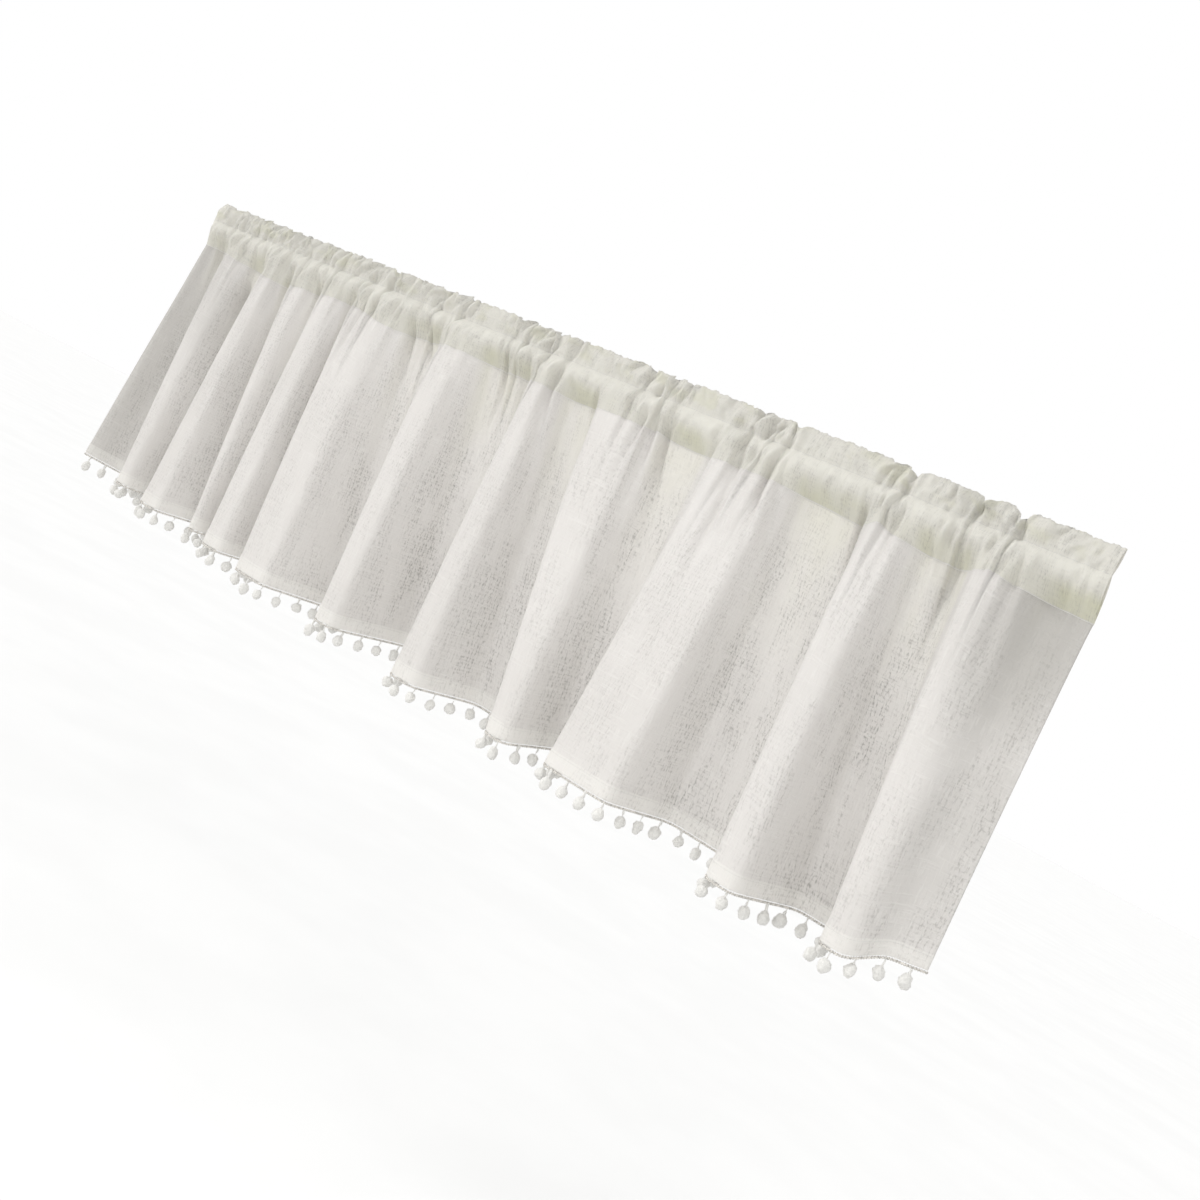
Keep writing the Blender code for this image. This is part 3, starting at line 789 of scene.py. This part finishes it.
# A band on the pocket's upper part is painted lighter, as a painted highlight where the pocket
# bulges up to the light.
HIGHLIGHT_FOOT = (0.026, 0.036)
HIGHLIGHT_TOP = (0.044, 0.052)
# Stretch of the flat cloth near the right end where the cream grows stronger, as painted shade.
RIGHT_END = (0.70, 1.20)


def heading_zones(cloth, flat, across, down):
    """Creamy tint where the turned-under edge lies behind the pocket's lower part, partly painted
    shade.
    """
    turned_under = 1.0 - down.between(*UNFOLDED)
    clouds = cloth.blots(flat, *WEAVE["pocket clouds"])
    right_end = across.between(*RIGHT_END) * 0.30
    cream_and_shade = turned_under * (clouds * 0.44 + 0.22 + right_end) * cloth.attribute("level")
    header = down.between(*HEADER_BAND) * cloth.blots(flat, *WEAVE["header clouds"])
    cream_and_shade = cream_and_shade + header * 0.36 + 0.20
    edge = 1.0 - down.between(*SEAM_EDGE)
    # Painted highlight on the pocket's upper part, given with the two layers' lighter share.
    painted_highlight = down.between(*HIGHLIGHT_FOOT) * (1.0 - down.between(*HIGHLIGHT_TOP))
    cream_and_shade = cream_and_shade.least(1.0) * (1.0 - edge)
    return cream_and_shade, (edge + painted_highlight) * 0.3 + 0.56, 1.0 - edge, 0.0


pocket_rises = np.sin(np.linspace(0, np.pi / 2, 10)) ** 1.6 * 0.5
pocket_rises = np.concatenate([[0.0, 0.005], pocket_rises[1:], 1.0 - pocket_rises[-2::-1]])
header_rises = 1.0 + np.linspace(0, 1, 11)[1:]
rises = np.concatenate([pocket_rises, header_rises])
heading_x = np.linspace(-SPAN / 2, SPAN / 2, HEADING_COLUMNS + 1)
back_rises = np.concatenate([rises[:0:-2], [0.0]])
sides = [(-1, rise) for rise in rises] + [(1, rise) for rise in back_rises]
rows = [heading_side(heading_x, face, rise) for face, rise in sides]
heading_y = np.array([row[0] for row in rows])
heading_z = np.array([row[1] for row in rows])
heading_v = np.array([r * POCKET if r <= 1 else POCKET + (r - 1) * HEADER for _, r in sides])
heading_u = heading_x * hem_length / SPAN
heading_mesh = cloth_mesh("linen_heading", np.tile(heading_x, (len(sides), 1)), heading_y,
                          heading_z, np.tile(heading_u, (len(sides), 1)),
                          np.tile(heading_v[:, None], (1, HEADING_COLUMNS + 1)))
# The turned-under edge's creamy tint is painted stronger where the seam lies back and weaker in
# the bunches: painted shade.
level = np.clip(0.45 + seam_wave(heading_x) / 0.012, 0.2, 1.0)
level = level * (1.0 - 0.5 * bunched(heading_x, 2.8))
set_attribute(heading_mesh, "level", np.tile(level, (len(sides), 1)))
heading = hang("linen_heading", heading_mesh)
thicken = heading.modifiers.new("thickness", "SOLIDIFY")
thicken.thickness = LINEN
thicken.offset = 0.0
heading_mesh.materials.append(linen("slub linen, heading", heading_zones))
settle(heading, "heading", slot="heading_linen")


# The sewing: white cotton lockstitch in three rows, one on each side of the
# rod pocket and one along the upper fold of the hem. Each stitch is a short
# round thread lying on the linen.

STITCH_LONG = 0.0026
STITCH_STEP = 0.0036
# Rises of the two stitch lines up the heading, below and above the pocket.
SEAM_RISES = (0.022, 1.004)
THREAD_RADIUS = 0.00022
SEWING_WHITE = (0.74, 0.73, 0.71, 1.0)
# Share of a thread's radius that stands clear of the linen it lies on.
THREAD_PROUD = 0.6
YARN_SHEEN = 0.25
YARN_THROUGH = 0.22


class Pattern(Nodes):
    """A Geometry Nodes tree with named inputs."""

    def __init__(self, name):
        super().__init__(bpy.data.node_groups.new(name, "GeometryNodeTree"))
        face = self.tree.interface
        face.new_socket("Geometry", in_out="INPUT", socket_type="NodeSocketGeometry")
        face.new_socket("Geometry", in_out="OUTPUT", socket_type="NodeSocketGeometry")
        self.inlet = self.tree.nodes.new("NodeGroupInput")
        self.start = Thread(self, self.inlet.outputs[0])
        self.sizes = {}

    def size(self, name, value, kind="NodeSocketFloat"):
        socket = self.tree.interface.new_socket(name, in_out="INPUT", socket_type=kind)
        self.sizes[socket.identifier] = value
        return Thread(self, self.inlet.outputs[name])

    def vector(self, **axes):
        return self.add("ShaderNodeCombineXYZ", None, axes)

    def along(self, axis):
        """A turn that lays one axis along the curve."""
        run = self.add("GeometryNodeInputTangent")
        return self.add("FunctionNodeAlignRotationToVector", {"axis": axis}, {"Vector": run})

    def spaced(self, curve, step):
        return self.add("GeometryNodeResampleCurve", {"mode": "LENGTH"},
                        {"Curve": curve, "Length": step})

    def joined(self, *parts):
        both = self.tree.nodes.new("GeometryNodeJoinGeometry")
        for part in parts:
            self.tree.links.new(part.socket, both.inputs[0])
        return Thread(self, both.outputs[0])

    def finish(self, geometry, look):
        real = self.add("GeometryNodeRealizeInstances", None, {"Geometry": geometry})
        dyed = self.add("GeometryNodeSetMaterial", None, {"Geometry": real, "Material": look})
        end = self.tree.nodes.new("NodeGroupOutput")
        self.tree.links.new(dyed.socket, end.inputs["Geometry"])

    def lay(self, piece):
        """Puts the pattern on a piece, its sizes set before it is evaluated."""
        on = piece.modifiers.new(self.tree.name, "NODES")
        on.node_group = self.tree
        for identifier, value in self.sizes.items():
            on[identifier] = value


def path_object(name, lines):
    """A wire through one or more lines of points."""
    spots, edges = [], []
    for points in lines:
        first = len(spots)
        spots.extend(points)
        edges.extend((first + k, first + k + 1) for k in range(len(points) - 1))
    mesh = bpy.data.meshes.new(name)
    mesh.from_pydata(spots, edges, [])
    return hang(name, mesh)


def yarn(name, tint, twist, relief, gaps=0.80):
    """Matt cotton yarn: fine fibres with darker gaps between the strands."""
    cotton = Finish(name)
    spot = cotton.add("ShaderNodeTexCoord", None, None, out="Object")
    strands = cotton.noise(spot, twist, 3.0, 0.6)
    fibres = cotton.noise(spot, twist * 3.5, 2.0)
    shade = strands.between(0.30, 0.62)
    deep = tuple(gaps * part for part in tint[:3]) + (1.0,)
    colour = cotton.mix(shade, deep, tint)
    rough = 0.88 + fibres * 0.1
    height = strands + fibres * 0.4
    return cotton.surface(colour, rough, height, relief, YARN_SHEEN, YARN_THROUGH)


stitch_row = Pattern("stitch row")
long_in = stitch_row.size("Stitch length", STITCH_LONG)
step_in = stitch_row.size("Stitch step", STITCH_STEP)
radius_in = stitch_row.size("Thread radius", THREAD_RADIUS)
sewn = stitch_row.add("GeometryNodeMeshToCurve", None, {"Mesh": stitch_row.start})
stitch = stitch_row.add("GeometryNodeMeshCylinder", {"fill_type": "TRIANGLE_FAN"},
                        {"Vertices": 5, "Side Segments": 1, "Radius": radius_in,
                         "Depth": long_in})
laid = stitch_row.add("GeometryNodeInstanceOnPoints", None,
                      {"Points": stitch_row.spaced(sewn, step_in), "Instance": stitch,
                       "Rotation": stitch_row.along("Z")})
thread_look = yarn("cotton sewing thread", SEWING_WHITE, twist=2200.0, relief=0.00005)
stitch_row.finish(laid, thread_look)

seam_paths = []
for rise in SEAM_RISES:
    y, z = heading_side(heading_x, -1, rise)
    y = y - LINEN / 2 - THREAD_RADIUS * THREAD_PROUD
    seam_paths.append(np.stack([heading_x, y, z], 1)[3:-3].tolist())
row_x, row_y, row_z = drape(skirt_at, np.full_like(skirt_at, hem_share + HEM_STITCH))
aside = np.stack([np.gradient(row_y), -np.gradient(row_x)], 1)
aside *= (HEM_LINEN / 2 + THREAD_RADIUS * THREAD_PROUD) / np.hypot(*aside.T)[:, None]
hem_row = np.stack([row_x + aside[:, 0], row_y + aside[:, 1], row_z], 1)
seam_paths.append(hem_row[2:-2].tolist())
stitches = path_object("stitching", seam_paths)
stitch_row.lay(stitches)
settle(stitches, slot="trim_yarn")


# The edging's gimp: a fine white cotton braid sewn on under the hem, whose
# plaited loops read as a row of small beads along the cloth's lower edge.

GIMP_CLEAR = 0.0006
GIMP_TALL = 0.0036
GIMP_THICK = 0.0022
LOOP_STEP = 0.0027
LOOP_TURN = 0.65
CORE_RADIUS = 0.0007
YARN_BEIGE = (0.74, 0.71, 0.66, 1.0)

hem_x, hem_y, hem_z = drape(skirt_at, np.ones_like(skirt_at))
gimp_line = np.stack([hem_x, hem_y, hem_z - GIMP_CLEAR - GIMP_TALL / 2], 1)

plait = Pattern("gimp plait")
step_in = plait.size("Loop step", LOOP_STEP)
tall_in = plait.size("Gimp height", GIMP_TALL)
thick_in = plait.size("Gimp thickness", GIMP_THICK)
lean_in = plait.size("Loop turn", LOOP_TURN)
core_in = plait.size("Core radius", CORE_RADIUS)
run_line = plait.add("GeometryNodeMeshToCurve", None, {"Mesh": plait.start})
lean = plait.add("FunctionNodeEulerToRotation", None, {"Euler": plait.vector(Y=lean_in)})
turned = plait.add("FunctionNodeRotateRotation", {"rotation_space": "LOCAL"},
                   {"Rotation": plait.along("X"), "Rotate By": lean})
loop = plait.add("GeometryNodeMeshUVSphere", None, {"Segments": 8, "Rings": 5, "Radius": 0.5})
size = plait.vector(X=step_in * 0.95, Y=thick_in, Z=tall_in)
loops = plait.add("GeometryNodeInstanceOnPoints", None,
                  {"Points": plait.spaced(run_line, step_in), "Instance": loop,
                   "Rotation": turned, "Scale": size})
core = plait.add("GeometryNodeCurvePrimitiveCircle", None, {"Resolution": 6, "Radius": core_in})
core_cord = plait.add("GeometryNodeCurveToMesh", None,
                      {"Curve": run_line, "Profile Curve": core, "Fill Caps": True})
smooth = plait.add("GeometryNodeSetShadeSmooth", None, {0: plait.joined(loops, core_cord)})
# The braid's yarn is painted darker in its gaps than the other yarns: partly its own strands,
# partly painted shade between the loops.
plait.finish(smooth, yarn("beige gimp yarn", YARN_BEIGE, twist=420.0, relief=0.00025, gaps=0.50))

gimp = path_object("gimp_braid", [gimp_line.tolist()])
plait.lay(gimp)
settle(gimp, slot="trim_yarn")


# The pompoms: balls of cut white cotton yarn, each on a short stem that is
# plaited into the gimp, hanging about 26 mm apart along the cloth. They swing
# a little either way and are uneven in size.

POM_PITCH = 0.0262
POM_RADIUS = 0.0062
STEM_RADIUS = 0.0008
STEM_LONG = 0.0070
TUFT = 0.0024
TUFT_RISE = 0.0007
LUMP = 0.0090
LUMP_RISE = 0.0050
YARN_WHITE = (0.80, 0.79, 0.76, 1.0)
COARSE_COLUMNS = 150
# How far each pompom swings and spins, and how full it is across and down.
SWING = 0.14
SPIN = 1.57
FULL_ACROSS = (0.86, 1.04)
FULL_DOWN = (1.0, 1.25)
POM_SEED = 11
TUFT_SEED = 4

coarse_at = hem_places(COARSE_COLUMNS + 1)
coarse = np.stack(drape(coarse_at, np.ones_like(coarse_at)), 1)
pom_count = int(hem_length / POM_PITCH)
pom_along = (np.arange(pom_count) + 0.5) / pom_count * COARSE_COLUMNS
roots = np.stack([np.interp(pom_along, np.arange(COARSE_COLUMNS + 1), axis)
                  for axis in coarse.T], 1)
roots[:, 2] -= GIMP_CLEAR + 0.5 * GIMP_TALL
rng = np.random.default_rng(POM_SEED)
swings, plumps = [], []
for _ in range(pom_count):
    swing = Matrix.Rotation(rng.uniform(-SWING, SWING), 4, "X")
    swing @= Matrix.Rotation(rng.uniform(-SWING, SWING), 4, "Y")
    swing @= Matrix.Rotation(rng.uniform(0.0, SPIN), 4, "Z")
    swings.append(tuple(swing.to_euler()))
    plumps.append((*rng.uniform(*FULL_ACROSS, 2), rng.uniform(*FULL_DOWN)))

pom_mesh = bpy.data.meshes.new("pompoms")
pom_mesh.from_pydata(roots.tolist(), [], [])
for name, values in (("swing", swings), ("plump", plumps)):
    layer = pom_mesh.attributes.new(name, "FLOAT_VECTOR", "POINT")
    layer.data.foreach_set("vector", np.array(values).ravel())
pompoms = hang("pompoms", pom_mesh)

bobble = Pattern("pompom row")
ball_in = bobble.size("Ball radius", POM_RADIUS)
stem_in = bobble.size("Stem length", STEM_LONG)
slim_in = bobble.size("Stem radius", STEM_RADIUS)
tuft_in = bobble.size("Tuft width", TUFT)
rise_in = bobble.size("Tuft rise", TUFT_RISE)
lump_in = bobble.size("Lump width", LUMP)
swell_in = bobble.size("Lump rise", LUMP_RISE)
seed_in = bobble.size("Seed", TUFT_SEED, "NodeSocketInt")
ball = bobble.add("GeometryNodeMeshIcoSphere", None, {"Radius": ball_in, "Subdivisions": 4})
below = bobble.vector(Z=(stem_in + ball_in) * -1.0)
hung = bobble.add("GeometryNodeTransform", None, {"Geometry": ball, "Translation": below})
deep = ball_in * 0.5 + stem_in
stem = bobble.add("GeometryNodeMeshCylinder", {"fill_type": "TRIANGLE_FAN"},
                  {"Vertices": 7, "Side Segments": 8, "Radius": slim_in, "Depth": deep})
stem_hung = bobble.add("GeometryNodeTransform", None,
                       {"Geometry": stem, "Translation": bobble.vector(Z=deep * -0.5)})
swing_read, plump_read = (
    bobble.add("GeometryNodeInputNamedAttribute", {"data_type": "FLOAT_VECTOR"}, {"Name": name})
    for name in ("swing", "plump"))
points = bobble.add("GeometryNodeMeshToPoints", None, {"Mesh": bobble.start})
row_of = bobble.add("GeometryNodeInstanceOnPoints", None,
                    {"Points": points, "Instance": bobble.joined(hung, stem_hung),
                     "Rotation": swing_read, "Scale": plump_read})
solid = bobble.add("GeometryNodeRealizeInstances", None, {"Geometry": row_of})
spot = bobble.add("GeometryNodeInputPosition")
shifted = bobble.add("ShaderNodeVectorMath", {"operation": "ADD"},
                     {0: spot, 1: bobble.vector(X=seed_in)})
cells = bobble.add("ShaderNodeTexVoronoi", {"feature": "F1"},
                   {"Vector": shifted, "Scale": 1.0 / tuft_in})
heap = bobble.add("ShaderNodeMapRange", None,
                  {"Value": cells, "From Min": 0.1, "From Max": 0.8, "To Min": 1.0,
                   "To Max": -0.6})
lumps = bobble.add("ShaderNodeTexNoise", None,
                   {"Vector": shifted, "Scale": 1.0 / lump_in, "Detail": 1.0})
lift = (lumps - 0.46) * swell_in + heap * rise_in
facing = bobble.add("GeometryNodeInputNormal")
push = bobble.add("ShaderNodeVectorMath", {"operation": "SCALE"}, {0: facing, "Scale": lift})
tufted = bobble.add("GeometryNodeSetPosition", None, {"Geometry": solid, "Offset": push})
soft = bobble.add("GeometryNodeSetShadeSmooth", None, {0: tufted})
bobble.finish(soft, yarn("white cotton yarn", YARN_WHITE, twist=1300.0, relief=0.00025))
bobble.lay(pompoms)
settle(pompoms, "pompom_trim", slot="trim_yarn")


# The stage: a wide pale floor under the hanging curtain, an even white room,
# two soft suns and a soft panel in front, with the camera near the curtain's
# right end and rolled as the picture is.

FLOOR_Z = -1.15
FLOOR_REACH = 60.0
ROOM_LIGHT = 1.0
CAMERA_AT = (1.279, -1.4216, -0.280)
CAMERA_TURN = np.radians(36.28)
CAMERA_TILT = np.radians(0.02)
CAMERA_ROLL = np.radians(27.58)
CAMERA_LENS = 45.0
CAMERA_SENSOR = 36.0
FRONT_AT = (0.30, -1.35, -0.45)
FRONT_AIM = (0.10, 0.0, -0.35)
FRONT_WIDE = 0.9
FRONT_POWER = 3.5
FLOOR_PALE = (0.80, 0.80, 0.795, 1.0)
FLOOR_MOTTLE = (0.78, 0.78, 0.775, 1.0)
ROOM_WHITE = (1.0, 1.0, 1.0, 1.0)

# The soft lights, far off: where each stands, its spread and its strength.
SUNS = (
    # name, place, degrees, strength
    ("key", (-2.6, -2.0, 1.9), 22.0, 1.22),
    ("fill", (1.9, -2.3, 0.5), 60.0, 0.80),
)

floor_mesh = bpy.data.meshes.new("floor")
corners = [(-1, -1), (1, -1), (1, 1), (-1, 1)]
floor_mesh.from_pydata([(a * FLOOR_REACH, b * FLOOR_REACH, FLOOR_Z) for a, b in corners], [],
                       [(0, 1, 2, 3)])
floor = hang("floor", floor_mesh)
paint = Finish("pale floor")
place = paint.add("ShaderNodeTexCoord", None, None, out="Object")
mottle = paint.noise(place, 3.0, 3.0)
tone = paint.mix(mottle.between(0.3, 0.7), FLOOR_PALE, FLOOR_MOTTLE)
painted = paint.add("ShaderNodeBsdfPrincipled", None,
                    {"Base Color": tone, "Roughness": 0.9, "Specular IOR Level": 0.1})
floor_mesh.materials.append(paint.end(painted))

room = bpy.data.worlds.new("even room")
room.use_nodes = True
sky = room.node_tree.nodes["Background"]
sky.inputs["Color"].default_value = ROOM_WHITE
sky.inputs["Strength"].default_value = ROOM_LIGHT
bpy.context.scene.world = room


def aimed(at, aim):
    """The placement of a lamp that stands at one place and shines at another."""
    turned = (Vector(aim) - Vector(at)).to_track_quat("-Z", "Y").to_matrix().to_4x4()
    return Matrix.Translation(at) @ turned


for name, at, degrees, strength in SUNS:
    sun = bpy.data.lights.new(name, "SUN")
    sun.angle = np.radians(degrees)
    sun.energy = strength
    hang(name, sun).matrix_world = aimed(at, (0, 0, 0))

panel_lamp = bpy.data.lights.new("front panel", "AREA")
panel_lamp.size = FRONT_WIDE
panel_lamp.energy = FRONT_POWER
front = hang("front panel", panel_lamp)
front.matrix_world = aimed(FRONT_AT, FRONT_AIM)
front.visible_camera = False

ahead = np.array([-np.sin(CAMERA_TURN) * np.cos(CAMERA_TILT),
                  np.cos(CAMERA_TURN) * np.cos(CAMERA_TILT), np.sin(CAMERA_TILT)])
right = np.array([np.cos(CAMERA_TURN), np.sin(CAMERA_TURN), 0.0])
up = np.cross(right, ahead)
rolled_right = np.cos(CAMERA_ROLL) * right + np.sin(CAMERA_ROLL) * up
rolled_up = np.cos(CAMERA_ROLL) * up - np.sin(CAMERA_ROLL) * right
lens = bpy.data.cameras.new("camera")
lens.lens = CAMERA_LENS
lens.sensor_width = CAMERA_SENSOR
lens.clip_start = 0.05
lens.clip_end = 200.0
camera = hang("camera", lens)
turned = np.stack([rolled_right, rolled_up, -ahead], 1).tolist()
placed = [(*axes, at) for axes, at in zip(turned, CAMERA_AT)]
camera.matrix_world = Matrix(placed + [(0, 0, 0, 1)])
bpy.context.scene.camera = camera
bpy.context.scene.view_settings.view_transform = "Standard"

bpy.context.view_layer.update()
